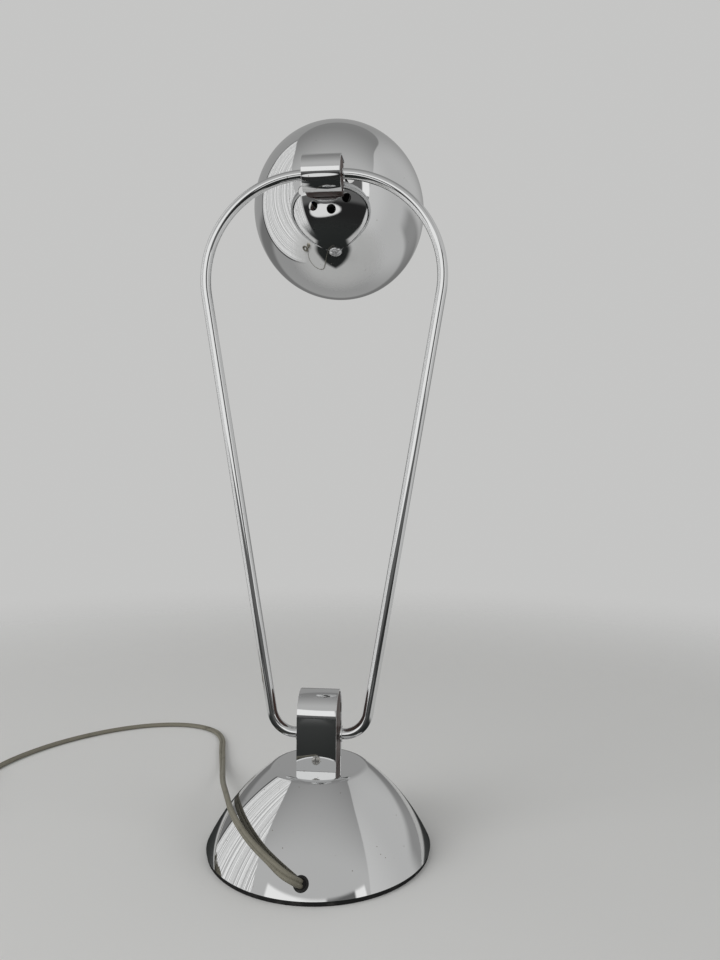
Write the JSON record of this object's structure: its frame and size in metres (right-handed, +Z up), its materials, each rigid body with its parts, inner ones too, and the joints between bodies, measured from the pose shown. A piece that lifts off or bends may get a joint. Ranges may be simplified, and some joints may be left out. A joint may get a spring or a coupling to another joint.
{
  "type": "desk lamp",
  "caption": "Chrome desk lamp: egg-shaped shade clipped to the top of a bent-tube loop, which tilts in a clip on a weighted domed base, with a flat cord.",
  "frame": {"origin": "middle of the base's underside, on the surface the lamp stands on", "axes": "+Z up, +Y the way the light shines, +X to the right seen from behind, where the cord leaves the base"},
  "size_m": [0.4145, 0.2746, 0.4717],
  "materials": {
    "chrome": "polished",
    "black_rubber": "matte",
    "clip_core": "satin",
    "zinc_steel": "satin",
    "ballast": "rough",
    "nylon": "satin",
    "white_plastic": "gloss",
    "black_plastic": "satin",
    "brass": "satin",
    "lead_insulation": "satin",
    "bulb_cap": "satin",
    "bulb_glass": "frosted",
    "cord": "satin",
    "plug": "satin"
  },
  "bodies": {
    "base": {"base_shell": "chrome", "foot_pad": "black_rubber", "base_plate": "zinc_steel", "plate_screws": "zinc_steel", "base_weight": "ballast", "clip_stem": "zinc_steel", "stem_nut": "zinc_steel", "base_clip": "chrome", "base_clip_core": "clip_core", "clip_screws": "zinc_steel", "pivot_bushes": "nylon", "terminal_block": "white_plastic", "terminal_screws": "brass", "touch_module": "black_plastic", "supply_leads": "lead_insulation", "cord_gland": "black_rubber", "cord_lead": "cord", "cord_coil": "cord", "cord_tie": "black_rubber", "plug_relief": "plug", "plug_body": "plug", "plug_pins": "brass"},
    "frame": {"frame_tube": "chrome", "frame_leads": "lead_insulation", "tube_collars": "chrome"},
    "head": {"head_clip": "chrome", "head_clip_core": "clip_core", "shade": "chrome", "head_stem": "zinc_steel", "head_nut": "zinc_steel", "lamp_holder": "black_plastic", "holder_sleeve": "brass", "holder_contact": "brass", "bulb_cap": "bulb_cap", "bulb_glass": "bulb_glass"}
  },
  "joints": [
    {"name": "frame_tilt", "type": "hinge", "parent": "base", "child": "frame", "pos_m": [0, 0, 0.0677], "axis": [1, 0, 0], "range_deg": [-25, 30]},
    {"name": "head_tilt", "type": "hinge", "parent": "frame", "child": "head", "pos_m": [0, 0, 0.4066], "axis": [1, 0, 0], "range_deg": [-110, 75]}
  ]
}
